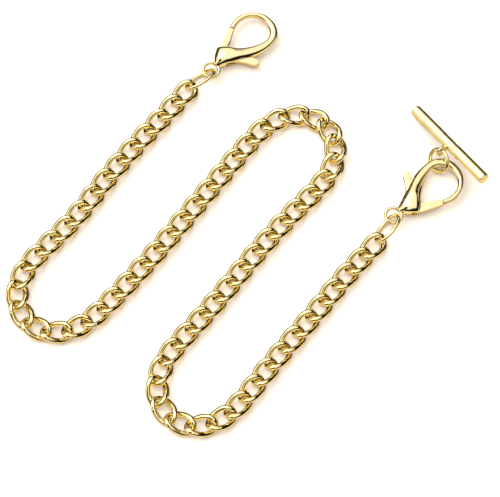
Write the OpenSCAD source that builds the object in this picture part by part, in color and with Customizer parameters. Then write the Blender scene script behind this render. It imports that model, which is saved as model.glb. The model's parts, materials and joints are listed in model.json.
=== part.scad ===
// Pocket watch chain: a curb chain laid in an S, a lobster clasp on each end and a T-bar.
// Millimetres. +Z is up from the table, and the origin is under the middle of the whole piece.

/* [Chain] */
// Wire diameter of a curb link
wire_d = 1.35; // [1.25:0.05:1.35]
// Centre distance of two neighbouring links
pitch = 5.25; // [5.2:0.05:5.3]
// Half width of a link, measured to the middle of its wire
link_half_w = 2.2; // [2.15:0.05:2.3]
// Twist of a link from end to end, in degrees
link_twist = 90; // [84:2:94]
// Squareness of a link's outline: 2 is an ellipse
link_square = 2.6; // [2.4:0.1:2.8]
// Free play of a link in its neighbour
link_play = 0.35; // [0.3:0.05:0.4]

/* [End rings] */
// Wire diameter of the oval rings and the jump ring
ring_wire_d = 0.95; // [0.9:0.05:1.0]
// Outer length of an oval ring
oval_l = 9.0; // [8.9:0.1:9.2]
// Outer width of an oval ring
oval_w = 6.0; // [5.9:0.1:6.2]
// Outer diameter of the jump ring
jump_d = 6.6; // [6.5:0.1:6.7]

/* [Clasps] */
// Thickness of a clasp at its body
clasp_t = 4.4; // [4.2:0.1:4.6]
// Thickness of a clasp's lever
lever_t = 1.4; // [1.2:0.1:1.4]
// Diameter of the pin that the lever turns on
pin_d = 1.1; // [1.0:0.05:1.2]
// Radial clearance of the lever on its pin
pin_gap = 0.05; // [0.03:0.01:0.08]

/* [T-bar] */
// Length of the T-bar
bar_l = 28; // [26:0.5:28]
// Diameter of the T-bar
bar_d = 2.8; // [2.6:0.1:2.9]

/* [Hidden] */
gold = "#e3c25a";
lever_gold = "#dcb94f";
steel = "#9aa0a6";

// Course of the chain from the watch clasp, as [joints, total bend in degrees, turn]. The
// bend is even along a run (0); in a turn (1) it grows and fades like half a sine wave.
course = [[3, -1, 0], [4, 6.5, 0], [3, -10.5, 0], [9, 183, 1], [5, 4.5, 0], [5, -1, 0],
    [9, -186, 1], [5, 7.5, 0], [4, -4.5, 0], [9, 185, 1], [3, -3.5, 0], [3, 2, 0], [3, -5.5, 0]];
start = [-15.8, 33.3];
start_heading = -130;
// Links in each piece of the straight runs; in the turns every link is a piece of its own
run_pieces = [[2, 3, 2, 3], [2, 2, 2, 3], [2, 2, 2, 2], [2, 2, 2, 2, 1]];
turn_pieces = 10;

wire_sides = 6;
link_rings = 16;
ring_rings = 24;
link_half_l = (pitch + wire_d + link_play) / 2;
link_z = 1.65;
oval_half_l = (oval_l - ring_wire_d) / 2;
oval_half_w = (oval_w - ring_wire_d) / 2;
jump_r = (jump_d - ring_wire_d) / 2;

function ahead(a) = [cos(a), sin(a), 0];
function unit(v) = v / norm(v);
function two_digits(n) = str(n < 10 ? "0" : "", n);
function sum_to(v, n) = n <= 0 ? 0 : v[n - 1] + sum_to(v, n - 1);

bends = [for (s = [0:len(course) - 1], k = [0:course[s][0] - 1])
    let (n = course[s][0], total = course[s][1])
    course[s][2] == 0 ? total / n : total * sin(180 * (k + 0.5) / n) * sin(90 / n)];
links = len(bends) + 1;
headings = [for (i = [0:links - 1]) start_heading + sum_to(bends, i)];
steps = [for (i = [0:links - 2]) pitch / 2 * (ahead(headings[i]) + ahead(headings[i + 1]))];
function centre(i) = i == 0 ? [start.x, start.y, link_z] : centre(i - 1) + steps[i - 1];
centres = [for (i = [0:links - 1]) centre(i)];

pieces = [for (r = [0:len(run_pieces) - 1])
    each concat(run_pieces[r], [for (k = [1:turn_pieces]) if (r < len(run_pieces) - 1) 1])];
firsts = [for (p = [0:len(pieces) - 1]) sum_to(pieces, p)];
function piece_name(p) = pieces[p] == 1
    ? str("link_", two_digits(firsts[p] + 1))
    : str("links_", two_digits(firsts[p] + 1), "_", two_digits(firsts[p] + pieces[p]));
LINK_NODES = [for (p = [0:len(pieces) - 1]) piece_name(p)];

// A wire bent along a closed curve, as a ring of flat-sided tube. The sides stand out to the
// corner radius that gives the tube the round wire's own volume.
function wire_corner(d) = d / 2 * sqrt(PI / (wire_sides / 2 * sin(360 / wire_sides)));
function tube_points(curve, d) = [for (i = [0:len(curve) - 1], k = [0:wire_sides - 1])
    let (n = len(curve), c = curve[i],
         t = unit(curve[(i + 1) % n] - curve[(i + n - 1) % n]),
         u = unit(c - t * (c * t)), v = cross(t, u), a = 360 * k / wire_sides)
    c + wire_corner(d) * (cos(a) * u + sin(a) * v)];
function tube_faces(n) = [for (i = [0:n - 1], k = [0:wire_sides - 1])
    let (a = i * wire_sides, b = (i + 1) % n * wire_sides, m = (k + 1) % wire_sides)
    each [[a + k, b + k, b + m], [a + k, b + m, a + m]]];
module closed_wire(curve, d) {
    polyhedron(tube_points(curve, d), tube_faces(len(curve)), convexity = 6);
}

// Outline of a link or ring: a superellipse, twisted about its long axis
function power(v, p) = sign(v) * pow(abs(v), p);
function loop_curve(half_l, half_w, square, twist, n) = [for (i = [0:n - 1])
    let (t = 360 * (i + 0.5) / n, x = half_l * power(cos(t), 2 / square),
         w = half_w * power(sin(t), 2 / square), roll = twist / 2 * x / half_l)
    [x, w * cos(roll), w * sin(roll)]];

module curb_link() {
    closed_wire(loop_curve(link_half_l, link_half_w, link_square, link_twist, link_rings), wire_d);
}

module chain_piece(p) {
    color(gold)
    for (i = [firsts[p]:firsts[p] + pieces[p] - 1])
        translate(centres[i]) rotate([0, 0, headings[i]]) curb_link();
}

// The oval rings lean on the table, rolled to cross their neighbours' wires. Values for the
// two ends of the chain stand in pairs: watch end, then T-bar end.
oval_heading = [34, 54];
oval_roll = [-45.1, -46.3];
oval_pitch = [4.2, 4.6];
oval_z = [2.34, 2.37];
oval_square = 2;
// Place of each ring's near end in the end link: back from taut, and along its sloping wire
oval_play = [0.62, 0.34];
oval_side = [0.4, 0.05];
// Place of each clasp's eye from the middle of the oval ring's far end, and the clasp's heading
eye_back = [-0.35, -0.32];
eye_side = [0.65, 0.72];
clasp_heading = [43.5, 38];
clasp_z = clasp_t / 2;

end_centre = [centres[0], centres[links - 1]];
end_heading = [start_heading + 180, headings[links - 1]];
taut = link_half_l - wire_d / 2 - ring_wire_d / 2;
function oval_centre(end) = [end_centre[end].x, end_centre[end].y, oval_z[end]]
    + (taut - oval_play[end]) * ahead(end_heading[end])
    + oval_side[end] * ahead(end_heading[end] + 90) + oval_half_l * ahead(oval_heading[end]);
function eye_centre(end) = [oval_centre(end).x, oval_centre(end).y, clasp_z]
    + (oval_half_l + eye_back[end]) * ahead(oval_heading[end])
    + eye_side[end] * ahead(oval_heading[end] + 90);

module oval_ring(end) {
    translate(oval_centre(end)) rotate([0, 0, oval_heading[end]])
        rotate([0, -oval_pitch[end], 0]) rotate([oval_roll[end], 0, 0])
        closed_wire(loop_curve(oval_half_l, oval_half_w, oval_square, 0, ring_rings), ring_wire_d);
}
module oval_ring_a() { color(gold) oval_ring(0); }
module oval_ring_b() { color(gold) oval_ring(1); }

// Clasp, drawn with its eye at the origin, its loop towards +X and its trigger towards +Y
eye_r = 2.4;
eye_hole_r = 1.6;
eye_t = 1.0;
neck_x = 1.9;
pivot = [5.6, -0.6];
slot_t = lever_t + 0.2;
pin_l = 3.4;
hub_r = 1.5;
gate_r = 7.55;
// Outside of the loop, from the hook's tip round to the neck, and inside of the loop
loop_outside = [[11.65, -5.55], [14.3, -6.25], [17.2, -5.6], [19.7, -3.4], [20.9, -0.3], [20.4, 2.7],
    [18.7, 4.7], [16, 5.6], [12.8, 5.45], [9.6, 4.5], [6.4, 3.05], [3.6, 1.6], [neck_x, 0.75]];
gate_side = [[neck_x, -0.8], [3.2, -2.1], [5.3, -3.45]];
loop_inside = [[7.2, -1.8], [8.6, 0.1], [10.7, 1.7], [13, 2.95], [15.9, 3.7], [18.3, 2.5],
    [19.2, -0.3], [18.4, -3.0], [16.4, -4.55], [14.2, -4.8], [12.3, -4.35]];
// Half thickness of the body along its length
side_profile = [[neck_x - 0.1, 0.75], [3.2, 1.9], [5, clasp_t / 2], [8, clasp_t / 2], [11, 1.5],
    [14, 1.0], [21, 0.95]];
slot_outline = [[3.7, -5], [8.2, -5], [7.9, -1.2], [8.3, 0.5], [9.2, 3.0], [11.2, 5.6],
    [10.5, 8], [3.9, 8], [3.7, 0]];
gate_outline = [[4.6, -1.9], [5.5, -3.4], [8, -4.4], [10.5, -5.25], [13, -6.1], [13.4, -4.5],
    [12.2, -4.25], [10.4, -3.35], [8.9, -2.4], [7.4, -1.9], [6.5, -0.5], [5.2, 0]];
trigger_outline = [[4.4, -0.2], [5.6, 1.6], [7.9, 5.2], [8.5, 6.6], [9.2, 7.4], [10.3, 7.3],
    [10.8, 6.6], [10.1, 5.2], [8.5, 3.2], [6.9, -0.2]];
spring_outline = [[3.78, 2.4], [3.78, 0.5], [4.0, 0.3], [4.25, 0.42], [5.98, 2.3], [5.84, 2.44],
    [4.15, 0.72], [3.98, 0.8], [3.98, 2.4]];

// Smooth line through the given points, with a few steps from each to the next
smooth_steps = 4;
function bend_through(a, b, c, d, t) = 0.5 * (2 * b + (c - a) * t
    + (2 * a - 5 * b + 4 * c - d) * t * t + (3 * b - a - 3 * c + d) * t * t * t);
function smooth(p) = [for (i = [0:len(p) - 2], s = [0:smooth_steps - 1])
    bend_through(p[max(i - 1, 0)], p[i], p[i + 1], p[min(i + 2, len(p) - 1)], s / smooth_steps),
    p[len(p) - 1]];
function mirrored(p) = concat(p, [for (i = [len(p) - 1:-1:0]) [p[i].x, -p[i].y]]);
function round_outline(r, n) = [for (i = [0:n - 1]) r * [cos(360 * i / n), sin(360 * i / n)]];

module slab(outline, t) {
    translate([0, 0, -t / 2]) linear_extrude(t) polygon(outline);
}

module clasp_body() {
    difference() {
        union() {
            intersection() {
                slab(concat(smooth(loop_outside), gate_side, smooth(loop_inside)), clasp_t);
                rotate([90, 0, 0]) slab(mirrored(side_profile), 20);
            }
            difference() {
                slab(round_outline(eye_r, 24), eye_t);
                slab(round_outline(eye_hole_r, 24), eye_t + 1);
            }
        }
        slab(slot_outline, slot_t);
        clasp_pin();
    }
}

module clasp_pin() {
    translate([pivot.x, pivot.y, -pin_l / 2]) cylinder(d = pin_d, h = pin_l, $fn = 48);
}

// Gate, hub and trigger in one piece; the gate's end is an arc round the pin
module clasp_lever() {
    difference() {
        union() {
            intersection() {
                slab(gate_outline, lever_t);
                translate([pivot.x, pivot.y, 0]) slab(round_outline(gate_r, 64), lever_t + 1);
            }
            translate([pivot.x, pivot.y, 0]) slab(round_outline(hub_r, 24), lever_t);
            slab(trigger_outline, lever_t);
        }
        translate([pivot.x, pivot.y, -lever_t])
            cylinder(d = pin_d + 2 * pin_gap, h = 2 * lever_t, $fn = 48);
    }
}

// The watch end's clasp lies with its trigger to the right of its heading, the other to the left
module at_clasp_a() {
    translate(eye_centre(0)) rotate([0, 0, clasp_heading[0]]) rotate([180, 0, 0]) children();
}
module at_clasp_b() {
    translate(eye_centre(1)) rotate([0, 0, clasp_heading[1]]) children();
}
module clasp_a_body() { color(gold) at_clasp_a() clasp_body(); }
module clasp_a_lever() { color(lever_gold) at_clasp_a() clasp_lever(); }
module clasp_a_pin() { color(steel) at_clasp_a() clasp_pin(); }
module clasp_a_spring() { color(steel) at_clasp_a() slab(spring_outline, 1); }
module clasp_b_body() { color(gold) at_clasp_b() clasp_body(); }
module clasp_b_lever() { color(lever_gold) at_clasp_b() clasp_lever(); }
module clasp_b_pin() { color(steel) at_clasp_b() clasp_pin(); }
module clasp_b_spring() { color(steel) at_clasp_b() slab(spring_outline, 1); }

// T-bar across the end of the clasp, with a shallow seat turned round its middle for the
// soldered eye. Its place is given from the clasp: along it, to its left, and up.
bar_place = [22.26, 5.48, 2.93];
bar_turn = -92;
bar_rise = 15;
seat_l = 4.6;
seat_depth = 0.2;
end_bevel = 0.3;
bar_eye_wire = 0.8;
bar_eye_hole = 1.6;
bar_eye_reach = bar_d / 2 + (bar_eye_hole + bar_eye_wire) / 2;
bar_eye_angle = 13;
module at_bar() {
    at_clasp_b() translate(bar_place) rotate([0, 0, bar_turn]) rotate([0, 90 - bar_rise, 0])
        children();
}
module t_bar() {
    r = bar_d / 2;
    color(gold) at_bar() rotate_extrude($fn = 64) polygon([
        [0, -bar_l / 2], [r - end_bevel, -bar_l / 2], [r, -bar_l / 2 + end_bevel],
        [r, -seat_l / 2], [r - seat_depth, -seat_l / 2], [r - seat_depth, seat_l / 2],
        [r, seat_l / 2], [r, bar_l / 2 - end_bevel], [r - end_bevel, bar_l / 2], [0, bar_l / 2]]);
}
// Eye below the bar's left side, its hole along the bar
module t_bar_eye() {
    eye_mid_r = (bar_eye_hole + bar_eye_wire) / 2;
    color(gold) at_bar() difference() {
        rotate([0, 0, -90 + bar_eye_angle]) translate([bar_eye_reach, 0, 0])
            rotate_extrude($fn = 48) translate([eye_mid_r, 0]) circle(d = bar_eye_wire, $fn = 24);
        cylinder(r = bar_d / 2 - seat_depth, h = seat_l, center = true, $fn = 64);
    }
}

// Jump ring through the T-bar's eye and round the loop of the clasp, placed from the clasp
jump_place = [18.12, 4.3, 0.58];
jump_turn = -9.65;
jump_tilt = -54;
module jump_ring() {
    color(gold) at_clasp_b() translate(jump_place) rotate([0, 0, jump_turn])
        rotate([0, jump_tilt, 0])
        closed_wire(loop_curve(jump_r, jump_r, 2, 0, ring_rings), ring_wire_d);
}

for (p = [0:len(pieces) - 1])
    chain_piece(p);
oval_ring_a();
clasp_a_body();
clasp_a_lever();
clasp_a_pin();
clasp_a_spring();
oval_ring_b();
clasp_b_body();
clasp_b_lever();
clasp_b_pin();
clasp_b_spring();
jump_ring();
t_bar();
t_bar_eye();
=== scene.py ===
"""Looks of the pocket watch chain: smooth links, rings, clasps and T-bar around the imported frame."""

import json
import math

import bmesh
import bpy
import numpy as np
from mathutils import Matrix, Vector


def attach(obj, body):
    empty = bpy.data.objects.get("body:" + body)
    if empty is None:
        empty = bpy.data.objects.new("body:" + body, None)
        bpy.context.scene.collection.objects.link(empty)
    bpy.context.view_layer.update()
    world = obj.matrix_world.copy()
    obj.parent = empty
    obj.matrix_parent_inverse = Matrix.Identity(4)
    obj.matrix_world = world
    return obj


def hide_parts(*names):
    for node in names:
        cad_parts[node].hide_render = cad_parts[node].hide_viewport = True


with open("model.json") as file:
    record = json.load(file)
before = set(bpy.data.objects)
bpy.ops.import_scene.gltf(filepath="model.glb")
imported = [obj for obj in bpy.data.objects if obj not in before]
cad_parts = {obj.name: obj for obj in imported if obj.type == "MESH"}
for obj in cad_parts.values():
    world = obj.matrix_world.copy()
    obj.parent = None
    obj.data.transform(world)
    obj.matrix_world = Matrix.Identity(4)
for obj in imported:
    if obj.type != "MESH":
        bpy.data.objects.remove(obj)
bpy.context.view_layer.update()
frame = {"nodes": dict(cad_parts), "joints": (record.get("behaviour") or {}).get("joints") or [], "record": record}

MM = 0.001

# Curb link and rings, in millimetres
LINK_HALF_L = 3.475
LINK_HALF_W = 2.2
LINK_TWIST = 90
LINK_SQUARE = 2.6
LINK_WIRE_R = 0.675
RING_WIRE_R = 0.475
OVAL_HALF_L = 4.025
OVAL_HALF_W = 2.525
JUMP_R = 2.825
LINK_SEAM = 68
OVAL_SEAM = 100
JUMP_SEAM = 200
SEAM_DEPTH = 0.05
SEAM_WIDTH = 0.05
LINK_STEPS = 88
RING_STEPS = 96
WIRE_SIDES = 20

# Clasp, in its own frame: eye at the origin, loop towards +X, trigger towards +Y
PIVOT = (5.6, -0.6)
LOOP_MOUNT = (14.2, -0.5)
EYE_R = 2.0
EYE_HALF_W = 0.4
EYE_HALF_T = 0.5
SLOT_HALF_T = 0.8
LEVER_T = 1.4
LEVER_EDGE = 0.28
LEVER_PLAY = 0.01
HUB_R = 1.5
HUB_ANGLES = (130, 245)
GATE_END_R = 7.5
GATE_END_ANGLES = (-39.3, -31.2)
GATE_BACK = [(4.75, -2.0), (5.6, -3.4), (8, -4.38), (10.5, -5.2), (11.55, -5.5)]
GATE_HOLE_SIDE = [(12.0, -4.35), (10.4, -3.35), (8.9, -2.45), (7.5, -1.9), (6.9, -0.9)]
TRIGGER_FRONT = [(6.9, -0.2), (8.45, 3.1), (10.0, 5.15)]
TRIGGER_TIP = [(10.45, 6.15), (10.25, 6.85), (9.65, 7.15), (9.0, 6.95), (8.45, 6.4)]
TRIGGER_BACK = [(7.9, 5.2), (5.65, 1.6)]
SLOT = [(3.7, -5), (8.2, -5), (7.9, -1.2), (8.3, 0.5), (9.2, 3.0), (11.2, 5.6), (10.5, 8), (3.9, 8), (3.7, 0)]
SPRING = [(3.78, 1.6), (3.78, 0.55), (4.0, 0.34), (4.25, 0.44), (5.94, 2.24), (5.82, 2.38),
          (4.15, 0.7), (3.98, 0.76), (3.98, 1.6)]
SPRING_HALF_W = 0.5
SPRING_EDGE = 0.035
PIN_R = 0.55
# The pin's rounded end, from its tip down to its full radius
PIN_END = [(0, 1.7), (0.25, 1.69), (0.45, 1.64), (0.53, 1.55), (PIN_R, 1.4)]
# Stations from the neck to the hook's tip: inner edge, outer edge, half thickness, squareness
STATIONS = [
    ((1.75, -0.72), (1.75, 0.65), 0.62, 2.2),
    ((2.4, -1.3), (2.4, 1.0), 1.2, 2.1),
    ((3.1, -2.0), (3.4, 1.5), 1.75, 2.1),
    ((4.2, -2.85), (4.8, 2.3), 2.1, 2.1),
    ((5.35, -3.42), (6.3, 3.0), 2.2, 2.1),
    ((6.7, -2.6), (7.9, 3.75), 2.12, 2.1),
    ((7.5, -1.45), (9.2, 4.35), 1.9, 2.1),
    ((8.55, -0.05), (10.6, 4.87), 1.65, 2.15),
    ((10.35, 1.45), (12.1, 5.3), 1.4, 2.2),
    ((12.8, 2.85), (13.8, 5.56), 1.15, 2.3),
    ((15.5, 3.68), (16.0, 5.58), 1.0, 2.4),
    ((17.2, 3.35), (18.1, 5.05), 0.95, 2.5),
    ((18.45, 2.3), (19.8, 3.65), 0.95, 2.5),
    ((19.15, 0.6), (20.75, 1.55), 0.95, 2.5),
    ((19.05, -1.3), (20.75, -1.3), 0.95, 2.5),
    ((18.3, -3.1), (19.6, -3.55), 0.93, 2.5),
    ((16.6, -4.45), (17.3, -5.5), 0.9, 2.5),
    ((14.3, -4.8), (14.5, -6.2), 0.86, 2.5),
    ((12.4, -4.37), (11.8, -5.6), 0.84, 2.5),
]
SHELL_SIDES = 40
SHELL_STEPS = 8
TIP_ROUNDING = 0.09
TIP_TAPER = 0.14

# T-bar
BAR_HALF_L = 14
BAR_R = 1.4
BAR_EDGE = 0.28
BAR_SIDES = 72
BAR_EYE_WIRE = 0.4
BAR_EYE_MID = 1.2
# The seat for the eye is shallower than the CAD's, so that the bar looks plain
SEAT_DEPTH = 0.06
SEAT_HALF_L = 2.3
SEAT_RUN_IN = 0.35
SEAT_FADE = 0.45
# Solder between the bar and its eye, by radius and height over the bar's axis
SOLDER = [(0, BAR_R - 0.25), (0.9, BAR_R - 0.25), (0.86, BAR_R - 0.05), (0.62, BAR_R + 0.1),
          (0.48, BAR_R + 0.3), (0.3, BAR_R + 0.42), (0, BAR_R + 0.42)]


def unit(v):
    return v / np.linalg.norm(v)


def smooth_line(points, steps):
    """Catmull-Rom line through rows of numbers, with a number of steps between neighbours."""
    p = np.array(points, float)
    p = np.vstack([2 * p[0] - p[1], p, 2 * p[-1] - p[-2]])
    out = []
    for i in range(1, len(p) - 2):
        a, b, c, d = p[i - 1], p[i], p[i + 1], p[i + 2]
        for k in range(steps):
            t = k / steps
            out.append(0.5 * (2 * b + (c - a) * t + (2 * a - 5 * b + 4 * c - d) * t ** 2
                              + (3 * b - a - 3 * c + d) * t ** 3))
    out.append(p[-2])
    return np.array(out)


def new_object(name, verts, faces, place=None):
    """A mesh object whose vertices are already in the frame's metres and place."""
    pts = np.array(verts, float) * MM
    if place is not None:
        pts = pts @ np.array(place.to_3x3()).T + np.array(place.translation)
    mesh = bpy.data.meshes.new(name)
    mesh.from_pydata([tuple(p) for p in pts], [], [tuple(f) for f in faces])
    bm = bmesh.new()
    bm.from_mesh(mesh)
    bmesh.ops.recalc_face_normals(bm, faces=bm.faces)
    bm.to_mesh(mesh)
    bm.free()
    mesh.shade_smooth()
    obj = bpy.data.objects.new(name, mesh)
    bpy.context.scene.collection.objects.link(obj)
    return obj


def grid_faces(rings, sides, closed):
    faces = []
    for i in range(rings if closed else rings - 1):
        j = (i + 1) % rings
        for k in range(sides):
            m = (k + 1) % sides
            faces.append((i * sides + k, j * sides + k, j * sides + m, i * sides + m))
    if not closed:
        faces.append(tuple(range(sides)))
        faces.append(tuple(range((rings - 1) * sides, rings * sides)))
    return faces


def closed_tube(curve, radii, sides, squash=1.0):
    """Vertices and faces of a round wire along a closed curve; squash flattens it radially."""
    tangent = np.roll(curve, -1, 0) - np.roll(curve, 1, 0)
    tangent /= np.linalg.norm(tangent, axis=1)[:, None]
    out = curve - tangent * (curve * tangent).sum(1)[:, None]
    out /= np.linalg.norm(out, axis=1)[:, None]
    across = np.cross(tangent, out)
    a = 2 * math.pi * np.arange(sides) / sides
    pts = (curve[:, None]
           + radii[:, None, None] * (squash * np.cos(a)[None, :, None] * out[:, None]
                                     + np.sin(a)[None, :, None] * across[:, None]))
    return pts.reshape(-1, 3), grid_faces(len(curve), sides, True)


def wire_angles(count, seam):
    """Angles round a loop, with extra ones beside the seam where its two ends meet."""
    near = [seam + d for d in (-0.04, -0.02, -0.01, 0, 0.01, 0.02, 0.04)]
    even = [2 * math.pi * i / count for i in range(count)]
    keep = [t for t in even if abs((t - seam + math.pi) % (2 * math.pi) - math.pi) > 0.05]
    return np.array(sorted(keep + near))


def wire_loop(half_l, half_w, square, twist, wire_r, count, sides, seam):
    """A wire bent into a loop whose ends meet in a fine seam."""
    t = wire_angles(count, seam)
    c, s = np.cos(t), np.sin(t)
    x = half_l * np.sign(c) * abs(c) ** (2 / square)
    w = half_w * np.sign(s) * abs(s) ** (2 / square)
    roll = np.radians(twist / 2 * x / half_l)
    curve = np.stack([x, w * np.cos(roll), w * np.sin(roll)], 1)
    seam_at = curve[np.argmin(abs(t - seam))]
    off = np.linalg.norm(curve - seam_at, axis=1)
    radii = wire_r - SEAM_DEPTH * np.exp(-(off / SEAM_WIDTH) ** 2)
    return closed_tube(curve, radii, sides)


# Places read from the frame

def loose_parts(node):
    """Unique vertices of each separate solid in a CAD node, as arrays in metres."""
    bm = bmesh.new()
    bm.from_mesh(frame["nodes"][node].data)
    bmesh.ops.remove_doubles(bm, verts=bm.verts, dist=1e-6)
    todo, parts = set(bm.verts), []
    while todo:
        stack, seen = [min(todo, key=lambda v: v.index)], set()
        while stack:
            v = stack.pop()
            if v in seen:
                continue
            seen.add(v)
            stack += [e.other_vert(v) for e in v.link_edges]
        todo -= seen
        parts.append(np.array([v.co[:] for v in sorted(seen, key=lambda v: v.index)]))
    bm.free()
    return parts


def matrix(x, y, z, origin):
    m = Matrix((x, y, z)).transposed().to_4x4()
    m.translation = origin
    return m


def link_place(points):
    """Frame of a link that lies flat: its long axis is the widest spread in plan."""
    centre = points.mean(0)
    flat = (points - centre)[:, :2]
    ahead = np.linalg.eigh(flat.T @ flat)[1][:, 1]
    x = Vector((ahead[0], ahead[1], 0))
    z = Vector((0, 0, 1))
    return matrix(x, z.cross(x), z, Vector(centre))


def ring_place(node):
    """Frame of a flat ring: long axis, width, and the normal of its plane."""
    points = loose_parts(node)[0]
    centre = points.mean(0)
    axes = np.linalg.eigh((points - centre).T @ (points - centre))[1]
    x, y = Vector(axes[:, 2]), Vector(axes[:, 1])
    return matrix(x, y, x.cross(y), Vector(centre))


def joint(name):
    return next(j for j in frame["joints"] if j["name"] == name)


def mount(name):
    return next(m for m in frame["record"]["mounts"] if m["name"] == name)


def clasp_place(side):
    """Frame of a clasp, from its trigger's pivot and its loop's mount."""
    pivot = Vector(joint(f"clasp_{side}_trigger")["pos_m"])
    z = Vector(joint(f"clasp_{side}_trigger")["axis"])
    loop = Vector(mount("watch_clasp_loop" if side == "a" else "bar_clasp_loop")["pos_m"])
    lean = math.atan2(LOOP_MOUNT[1] - PIVOT[1], LOOP_MOUNT[0] - PIVOT[0])
    x = Matrix.Rotation(-lean, 3, z) @ (loop - pivot).normalized()
    y = z.cross(x)
    return matrix(x, y, z, pivot - PIVOT[0] * MM * x - PIVOT[1] * MM * y)


# Materials

def node_group(mat):
    mat.use_nodes = True
    tree = mat.node_tree
    return tree, tree.nodes["Principled BSDF"]


def add(tree, kind, **settings):
    node = tree.nodes.new(kind)
    for key, value in settings.items():
        if key in node.inputs:
            node.inputs[key].default_value = value
        else:
            setattr(node, key, value)
    return node


def ramp(tree, source, stops):
    node = tree.nodes.new("ShaderNodeValToRGB")
    node.color_ramp.elements.remove(node.color_ramp.elements[1])
    for i, (at, value) in enumerate(stops):
        e = node.color_ramp.elements[0] if i == 0 else node.color_ramp.elements.new(at)
        e.position = at
        e.color = value if len(value) == 4 else (*value, 1)
    tree.links.new(source, node.inputs[0])
    return node.outputs[0]


def polished_gold(name, pale, deep, rough_low, rough_high, scratch_axis=None):
    """Polished gold plate: cloudy tone, hairline scratches and a faint ripple under the polish."""
    mat = bpy.data.materials.new(name)
    tree, bsdf = node_group(mat)
    coords = add(tree, "ShaderNodeTexCoord").outputs["Object"]
    cloud = add(tree, "ShaderNodeTexNoise", Scale=260.0, Detail=3.0, Roughness=0.55)
    tree.links.new(coords, cloud.inputs["Vector"])
    tone = ramp(tree, cloud.outputs[0], [(0.3, deep), (0.7, pale)])
    tree.links.new(tone, bsdf.inputs["Base Color"])

    stretch = add(tree, "ShaderNodeMapping")
    stretch.inputs["Scale"].default_value = scratch_axis or (1.0, 0.12, 0.6)
    stretch.inputs["Rotation"].default_value = (0.3, 0.2, 0.7) if scratch_axis is None else (0, 0, 0)
    tree.links.new(coords, stretch.inputs["Vector"])
    hairs = add(tree, "ShaderNodeTexNoise", Scale=9000.0, Detail=2.0, Roughness=0.6)
    tree.links.new(stretch.outputs[0], hairs.inputs["Vector"])
    rub = add(tree, "ShaderNodeTexNoise", Scale=700.0, Detail=4.0, Roughness=0.6)
    tree.links.new(coords, rub.inputs["Vector"])
    both = add(tree, "ShaderNodeMath", operation="MULTIPLY")
    tree.links.new(hairs.outputs[0], both.inputs[0])
    tree.links.new(rub.outputs[0], both.inputs[1])
    rough = add(tree, "ShaderNodeMapRange")
    rough.inputs["From Min"].default_value = 0.15
    rough.inputs["From Max"].default_value = 0.4
    rough.inputs["To Min"].default_value = rough_low
    rough.inputs["To Max"].default_value = rough_high
    tree.links.new(both.outputs[0], rough.inputs["Value"])
    tree.links.new(rough.outputs[0], bsdf.inputs["Roughness"])

    ripple = add(tree, "ShaderNodeTexNoise", Scale=420.0, Detail=1.0)
    tree.links.new(coords, ripple.inputs["Vector"])
    soft = add(tree, "ShaderNodeBump", Strength=0.12, Distance=0.00008)
    tree.links.new(ripple.outputs[0], soft.inputs["Height"])
    fine = add(tree, "ShaderNodeBump", Strength=0.06, Distance=0.00001)
    tree.links.new(hairs.outputs[0], fine.inputs["Height"])
    tree.links.new(soft.outputs[0], fine.inputs["Normal"])
    tree.links.new(fine.outputs[0], bsdf.inputs["Normal"])
    bsdf.inputs["Metallic"].default_value = 1.0
    return mat


def brushed_steel():
    """Drawn steel of the hidden pins and springs: fine lines and a little tarnish."""
    mat = bpy.data.materials.new("drawn_steel")
    tree, bsdf = node_group(mat)
    coords = add(tree, "ShaderNodeTexCoord").outputs["Object"]
    stretch = add(tree, "ShaderNodeMapping")
    stretch.inputs["Scale"].default_value = (1, 1, 0.05)
    tree.links.new(coords, stretch.inputs["Vector"])
    lines = add(tree, "ShaderNodeTexNoise", Scale=8000.0, Detail=2.0)
    tree.links.new(stretch.outputs[0], lines.inputs["Vector"])
    tarnish = add(tree, "ShaderNodeTexNoise", Scale=900.0, Detail=3.0)
    tree.links.new(coords, tarnish.inputs["Vector"])
    tone = ramp(tree, tarnish.outputs[0], [(0.35, (0.42, 0.40, 0.37)), (0.65, (0.62, 0.61, 0.6))])
    tree.links.new(tone, bsdf.inputs["Base Color"])
    rough = ramp(tree, lines.outputs[0], [(0.3, (0.25,) * 3), (0.7, (0.45,) * 3)])
    tree.links.new(rough, bsdf.inputs["Roughness"])
    bsdf.inputs["Metallic"].default_value = 1.0
    return mat


LINK_GOLD = polished_gold("link_gold", (0.97, 0.85, 0.47), (0.95, 0.79, 0.37), 0.03, 0.08)
CLASP_GOLD = polished_gold("clasp_gold", (0.97, 0.86, 0.50), (0.96, 0.83, 0.45), 0.02, 0.06)
BAR_GOLD = polished_gold("bar_gold", (0.97, 0.86, 0.50), (0.96, 0.82, 0.44), 0.03, 0.09, (1, 1, 1))
STEEL = brushed_steel()


def finish_piece(obj, material, body, node):
    obj.data.materials.clear()
    obj.data.materials.append(material)
    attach(obj, body)
    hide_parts(node)
    return obj


# Pieces

def body_of(node):
    return next(b for b, ns in frame["record"]["behaviour"]["bodies"].items() if node in ns)


def make_links():
    nodes = sorted((n for n in frame["nodes"] if n.startswith("link")),
                   key=lambda n: int(n.split("_")[1]))
    verts, faces = wire_loop(LINK_HALF_L, LINK_HALF_W, LINK_SQUARE, LINK_TWIST, LINK_WIRE_R,
                             LINK_STEPS, WIRE_SIDES, math.radians(LINK_SEAM))
    before = np.array(ring_place("oval_ring_a").translation)
    count = 0
    for node in nodes:
        parts = sorted(loose_parts(node), key=lambda p: np.linalg.norm(p.mean(0) - before))
        for part in parts:
            count += 1
            link = new_object(f"curb_link_{count:02d}", verts, faces, link_place(part))
            finish_piece(link, LINK_GOLD, body_of(node), node)
            before = part.mean(0)


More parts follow.
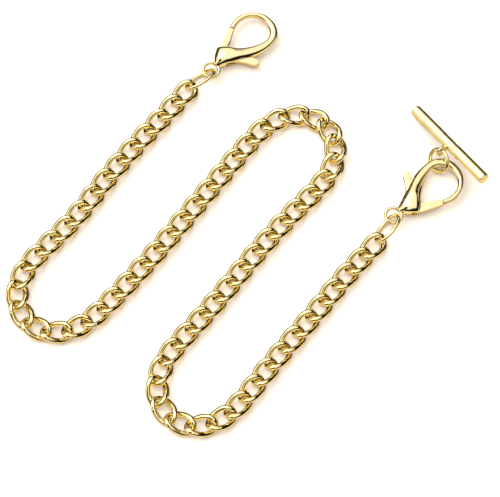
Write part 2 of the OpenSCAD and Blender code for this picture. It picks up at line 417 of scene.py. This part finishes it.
def make_oval_rings():
    verts, faces = wire_loop(OVAL_HALF_L, OVAL_HALF_W, 2, 0, RING_WIRE_R,
                             RING_STEPS, WIRE_SIDES, math.radians(OVAL_SEAM))
    for node in ("oval_ring_a", "oval_ring_b"):
        ring = new_object(node + "_wire", verts, faces, ring_place(node))
        finish_piece(ring, LINK_GOLD, body_of(node), node)


def make_jump_ring():
    verts, faces = wire_loop(JUMP_R, JUMP_R, 2, 0, RING_WIRE_R,
                             RING_STEPS, WIRE_SIDES, math.radians(JUMP_SEAM))
    ring = new_object("jump_ring_wire", verts, faces, ring_place("jump_ring"))
    finish_piece(ring, LINK_GOLD, "jump_ring", "jump_ring")


def rounded_section(inner, outer, half_t, sides, square):
    """Ring of points of a rounded cross-section that spans inner to outer."""
    mid = (inner + outer) / 2
    half = (outer - inner) / 2
    a = 2 * math.pi * (np.arange(sides) + 0.5) / sides
    u = np.sign(np.cos(a)) * abs(np.cos(a)) ** (2 / square)
    v = np.sign(np.sin(a)) * abs(np.sin(a)) ** (2 / square)
    return np.concatenate([mid[None] + u[:, None] * half[None], (half_t * v)[:, None]], 1)


def clasp_shell():
    """The body's solid form from its neck round to the hook's tip."""
    rows = [[*inner, *outer, t, square] for inner, outer, t, square in STATIONS]
    line = smooth_line(rows, SHELL_STEPS)
    rings = [rounded_section(r[:2], r[2:4], r[4], SHELL_SIDES, r[5]) for r in line]
    tip = rings[-1]
    middle = tip.mean(0)
    last, before = [(r[:2] + r[2:4]) / 2 for r in (line[-1], line[-2])]
    onward = np.append(unit(last - before), 0)
    for k in range(1, 6):
        a = math.radians(18 * k)
        taper = 1 - TIP_TAPER * (1 - math.cos(a))
        rings.append(middle + (tip - middle) * taper + onward * TIP_ROUNDING * math.sin(a))
    verts = np.concatenate(rings)
    return verts, grid_faces(len(rings), SHELL_SIDES, False)


def eye_ring(radius, half_w, half_t, count=72, sides=24):
    t = 2 * math.pi * np.arange(count) / count
    curve = np.stack([radius * np.cos(t), radius * np.sin(t), 0 * t], 1)
    return closed_tube(curve, np.full(count, half_t), sides, half_w / half_t)


def prism(outline, half_t):
    n = len(outline)
    verts = [(*p, -half_t) for p in outline] + [(*p, half_t) for p in outline]
    faces = [tuple(range(n))[::-1], tuple(range(n, 2 * n))]
    faces += [(i, (i + 1) % n, n + (i + 1) % n, n + i) for i in range(n)]
    return verts, faces


def cut(obj, other, operation):
    """Boolean of obj with other, applied; other is used up."""
    mod = obj.modifiers.new("cut", "BOOLEAN")
    mod.object = other
    mod.operation = operation
    mod.solver = "EXACT"
    apply_modifiers(obj)
    bpy.data.objects.remove(other)


def apply_modifiers(obj):
    bpy.context.view_layer.update()
    shape = bpy.data.meshes.new_from_object(obj.evaluated_get(bpy.context.evaluated_depsgraph_get()))
    obj.modifiers.clear()
    obj.data = shape


def bevel(obj, width, segments, angle=35):
    mod = obj.modifiers.new("bevel", "BEVEL")
    mod.width = width * MM
    mod.segments = segments
    mod.limit_method = "ANGLE"
    mod.angle_limit = math.radians(angle)
    apply_modifiers(obj)


def shade_by_angle(obj, degrees):
    obj.data.shade_smooth()
    obj.data.set_sharp_from_angle(angle=math.radians(degrees))


def make_clasp_body(side):
    place = clasp_place(side)
    body = new_object(f"clasp_{side}_shell", *clasp_shell(), place)
    cut(body, new_object("eye", *eye_ring(EYE_R, EYE_HALF_W, EYE_HALF_T), place), "UNION")
    cut(body, new_object("slot", *prism(SLOT, SLOT_HALF_T), place), "DIFFERENCE")
    shade_by_angle(body, 32)
    node = f"clasp_{side}_body"
    finish_piece(body, CLASP_GOLD, f"clasp_{side}", node)


def arc(centre, radius, start, end, count):
    return [(centre[0] + radius * math.cos(math.radians(a)), centre[1] + radius * math.sin(math.radians(a)))
            for a in np.linspace(start, end, count)]


def smooth_outline(points, steps):
    return [tuple(p) for p in smooth_line(points, steps)]


def lever_outline():
    """Gate, trigger and hub, round the lever's edge."""
    outline = smooth_outline(GATE_BACK, 5)
    outline += arc(PIVOT, GATE_END_R, *GATE_END_ANGLES, 4)[1:-1]
    outline += smooth_outline(GATE_HOLE_SIDE, 5)
    outline += TRIGGER_FRONT
    outline += smooth_outline(TRIGGER_TIP, 4)
    outline += TRIGGER_BACK
    outline += arc(PIVOT, HUB_R, *HUB_ANGLES, 10)
    return outline


def make_lever(side):
    """Gate and trigger in one piece; unlike the CAD's, it has no hole for its pin."""
    lever = new_object(f"clasp_{side}_gate", *prism(lever_outline(), LEVER_T / 2 - LEVER_PLAY),
                       clasp_place(side))
    bevel(lever, LEVER_EDGE, 4)
    shade_by_angle(lever, 40)
    finish_piece(lever, CLASP_GOLD, f"clasp_{side}_lever", f"clasp_{side}_lever")


def lathe(profile, sides):
    """Solid of revolution about Z from (radius, height) pairs whose ends are on the axis."""
    a = 2 * math.pi * np.arange(sides) / sides
    inner = profile[1:-1]
    verts = [(r * math.cos(t), r * math.sin(t), z) for r, z in inner for t in a]
    faces = []
    for i in range(len(inner) - 1):
        for k in range(sides):
            m = (k + 1) % sides
            faces.append((i * sides + k, i * sides + m, (i + 1) * sides + m, (i + 1) * sides + k))
    base, top = len(verts), len(verts) + 1
    verts += [(0, 0, profile[0][1]), (0, 0, profile[-1][1])]
    last = (len(inner) - 1) * sides
    for k in range(sides):
        m = (k + 1) % sides
        faces.append((k, base, m))
        faces.append((last + k, last + m, top))
    return verts, faces


def bar_place():
    """Frame of the T-bar: Z along it to its raised end, X from its axis to the eye's centre."""
    high, low = Vector(mount("t_bar_raised_end")["pos_m"]), Vector(mount("t_bar_low_end")["pos_m"])
    centre = (high + low) / 2
    z = (high - low).normalized()
    eye = Vector(joint("t_bar_swing")["pos_m"])
    x = (eye - centre - (eye - centre).dot(z) * z)
    return matrix(x.normalized(), z.cross(x.normalized()), z, centre), x.length / MM


def waist(z):
    """How far into the bar's shallow middle seat a height is, from 0 to 1."""
    t = min(max((SEAT_HALF_L + SEAT_RUN_IN - abs(z)) / SEAT_FADE, 0), 1)
    return t * t * (3 - 2 * t)


def bar_profile():
    """Half outline of the rod, from its raised end to its low one."""
    edge = [(BAR_R - BAR_EDGE * (1 - math.sin(a)), BAR_HALF_L - BAR_EDGE * (1 - math.cos(a)))
            for a in np.radians(np.linspace(0, 90, 8))]
    straight = BAR_HALF_L - BAR_EDGE - 0.3
    side = [(BAR_R - SEAT_DEPTH * waist(z), z) for z in np.linspace(straight, -straight, 120)]
    end = [(0, BAR_HALF_L), (0.35, BAR_HALF_L), (0.7, BAR_HALF_L), *edge]
    return end + side + [(r, -z) for r, z in end[::-1]]


def make_bar():
    place, eye_reach = bar_place()
    bar = new_object("t_bar_rod", *lathe(bar_profile(), BAR_SIDES), place)
    shade_by_angle(bar, 40)
    finish_piece(bar, BAR_GOLD, "t_bar", "t_bar")

    eye_at = place @ Matrix.Translation((eye_reach * MM, 0, 0))
    eye = new_object("t_bar_soldered_eye", *eye_ring(BAR_EYE_MID, BAR_EYE_WIRE, BAR_EYE_WIRE, 64, 20), eye_at)
    solder = new_object("solder", *lathe(SOLDER, 40), place @ Matrix.Rotation(math.radians(90), 4, "Y"))
    cut(eye, solder, "UNION")
    shade_by_angle(eye, 50)
    finish_piece(eye, BAR_GOLD, "t_bar", "t_bar_eye")


def make_pin(side):
    """Pivot pin with rounded ends, hidden between the body's two cheeks."""
    place = clasp_place(side) @ Matrix.Translation((PIVOT[0] * MM, PIVOT[1] * MM, 0))
    profile = PIN_END + [(PIN_R, z) for z in (0.7, 0, -0.7)] + [(r, -z) for r, z in PIN_END[::-1]]
    pin = new_object(f"clasp_{side}_rivet", *lathe(profile, 40), place)
    finish_piece(pin, STEEL, f"clasp_{side}", f"clasp_{side}_pin")


def make_spring(side):
    """Bent leaf spring inside the body, behind the lever."""
    spring = new_object(f"clasp_{side}_leaf_spring", *prism(SPRING, SPRING_HALF_W), clasp_place(side))
    bevel(spring, SPRING_EDGE, 2)
    shade_by_angle(spring, 40)
    finish_piece(spring, STEEL, f"clasp_{side}", f"clasp_{side}_spring")


make_links()
make_oval_rings()
make_jump_ring()
for side in "ab":
    make_clasp_body(side)
    make_lever(side)
    make_pin(side)
    make_spring(side)
make_bar()


# Studio

VIEW_ELEVATION = 70
VIEW_DISTANCE = 0.521
VIEW_LENS = 151.2
VIEW_TARGET = Vector((0.0009, -0.00785, 0))
FLOOR_HALF = 1.5
FLOOR_COLOUR = (0.95, 0.865, 0.79, 1)
KEY_PLACE = (-0.28, 0.22, 0.42)
KEY_SIZE = 0.2
KEY_WATTS = 0.36
KEY_COLOUR = (1, 0.97, 0.93)


def make_camera():
    data = bpy.data.cameras.new("camera")
    data.lens = VIEW_LENS
    data.sensor_width = 36
    cam = bpy.data.objects.new("camera", data)
    e = math.radians(VIEW_ELEVATION)
    back = Vector((0, -math.cos(e), math.sin(e)))
    cam.location = VIEW_TARGET + VIEW_DISTANCE * back
    cam.rotation_euler = back.to_track_quat("Z", "Y").to_euler()
    bpy.context.scene.collection.objects.link(cam)
    bpy.context.scene.camera = cam


def make_floor():
    """Pale floor that takes shadows but stays out of the gold's reflections."""
    mesh = bpy.data.meshes.new("floor")
    s = FLOOR_HALF
    mesh.from_pydata([(-s, -s, 0), (s, -s, 0), (s, s, 0), (-s, s, 0)], [], [(0, 1, 2, 3)])
    floor = bpy.data.objects.new("floor", mesh)
    bpy.context.scene.collection.objects.link(floor)
    mat = bpy.data.materials.new("floor")
    tree, bsdf = node_group(mat)
    bsdf.inputs["Base Color"].default_value = FLOOR_COLOUR
    bsdf.inputs["Roughness"].default_value = 0.6
    mesh.materials.append(mat)
    floor.visible_glossy = False


def area_light(name, place, aim, size, watts, colour):
    data = bpy.data.lights.new(name, "AREA")
    data.shape = "DISK"
    data.size = size
    data.energy = watts
    data.color = colour
    light = bpy.data.objects.new(name, data)
    light.location = place
    light.rotation_euler = (Vector(place) - Vector(aim)).to_track_quat("Z", "Y").to_euler()
    bpy.context.scene.collection.objects.link(light)


def scaled_sum(tree, vector, weights):
    """Dot product of a vector output with a fixed direction."""
    node = add(tree, "ShaderNodeVectorMath", operation="DOT_PRODUCT")
    tree.links.new(vector, node.inputs[0])
    node.inputs[1].default_value = weights
    return node.outputs["Value"]


def fade(tree, value, low, high, top=1.0):
    """Smooth step of a value from low to high, up to top."""
    node = add(tree, "ShaderNodeMapRange", interpolation_type="SMOOTHSTEP")
    node.inputs["From Min"].default_value = low
    node.inputs["From Max"].default_value = high
    node.inputs["To Max"].default_value = top
    tree.links.new(value, node.inputs["Value"])
    return node.outputs[0]


def mix_colour(tree, factor, first, second):
    node = tree.nodes.new("ShaderNodeMix")
    node.data_type = "RGBA"
    tree.links.new(factor, node.inputs["Factor"])
    for colour, socket in ((first, "A"), (second, "B")):
        if isinstance(colour, tuple):
            node.inputs[socket].default_value = colour
        else:
            tree.links.new(colour, node.inputs[socket])
    return node.outputs["Result"]


def grey(v, warm=1.0):
    return (v, v * (1 - 0.05 * warm), v * (1 - 0.12 * warm))


# Brightness of the tent by height, from straight down (0) over the horizon (0.5) to overhead (1)
PEACH = [(0.0, (0.5, 0.34, 0.18)), (0.08, (0.88, 0.68, 0.42)), (0.25, (1.0, 0.82, 0.54)),
         (0.49, (1.0, 0.9, 0.68))]
OPEN_SIDE = PEACH + [(0.52, grey(1.0)), (0.8, grey(1.3, 0.4)), (1.0, grey(1.18, 0.4))]
NEAR_SIDE = PEACH + [(0.51, grey(0.02)), (0.75, grey(0.02)), (0.80, grey(1.1)), (1.0, grey(1.18, 0.4))]
FAR_SIDE = PEACH + [(0.51, grey(0.02)), (0.63, grey(0.02)), (0.67, grey(1.1)), (1.0, grey(1.18, 0.4))]
DARK_SIDE = PEACH + [(0.51, grey(0.01)), (0.83, grey(0.01)), (0.88, grey(1.05)), (1.0, grey(1.18, 0.4))]

# Parts of the tent: a direction, and the values of its dot product over which the part fades in
NEAR = ((0, -1, 0), 0.3, 0.5)
FAR = ((0, 1, 0), 0.2, 0.4)
RIGHT = ((0.97, -0.1, 0), 0.0, 0.3)
BELOW = ((0, 0, -1), 0.0, 0.06)
BEHIND = ((0, 1, 0), 0.08, 0.2)
KEY_GLOW = ((-0.5, 0.3, 0.81), 0.86, 0.96)
FRONT_CARD = ((-0.42, -0.5, 0.75), 0.945, 0.96)
UNDER = (0.06, 0.034, 0.012, 1)
KEY_BRIGHT = (2.6, 2.5, 2.35, 1)
CARD_BLACK = (0.03, 0.025, 0.02, 1)
WHITE = (1, 1, 1, 1)
FLOOR_LIFT = 1.0


def make_world():
    """A light tent with dark cards; the camera sees white, and the floor's light is brighter."""
    world = bpy.data.worlds.new("studio")
    bpy.context.scene.world = world
    world.use_nodes = True
    tree = world.node_tree
    back = tree.nodes["Background"]
    way = add(tree, "ShaderNodeTexCoord").outputs["Generated"]
    height = add(tree, "ShaderNodeMath", operation="MULTIPLY_ADD")
    tree.links.new(scaled_sum(tree, way, (0, 0, 1)), height.inputs[0])
    height.inputs[1].default_value = 0.5
    height.inputs[2].default_value = 0.5

    def part(towards, low, high):
        return fade(tree, scaled_sum(tree, way, towards), low, high)

    tent = ramp(tree, height.outputs[0], OPEN_SIDE)
    for where, stops in ((NEAR, NEAR_SIDE), (FAR, FAR_SIDE), (RIGHT, DARK_SIDE)):
        tent = mix_colour(tree, part(*where), tent, ramp(tree, height.outputs[0], stops))
    below = add(tree, "ShaderNodeMath", operation="MULTIPLY")
    tree.links.new(part(*BELOW), below.inputs[0])
    tree.links.new(part(*BEHIND), below.inputs[1])
    tent = mix_colour(tree, below.outputs[0], tent, UNDER)
    tent = mix_colour(tree, part(*KEY_GLOW), tent, KEY_BRIGHT)
    tent = mix_colour(tree, part(*FRONT_CARD), tent, CARD_BLACK)

    rays = add(tree, "ShaderNodeLightPath")
    seen = mix_colour(tree, rays.outputs["Is Camera Ray"], tent, WHITE)
    tree.links.new(seen, back.inputs["Color"])
    strength = add(tree, "ShaderNodeMath", operation="ADD")
    tree.links.new(fade(tree, rays.outputs["Is Diffuse Ray"], 0, 1, FLOOR_LIFT), strength.inputs[0])
    strength.inputs[1].default_value = 1.0
    tree.links.new(strength.outputs[0], back.inputs["Strength"])


make_camera()
make_floor()
area_light("key", KEY_PLACE, (0, 0, 0), KEY_SIZE, KEY_WATTS, KEY_COLOUR)
make_world()
bpy.context.scene.view_settings.view_transform = "Standard"
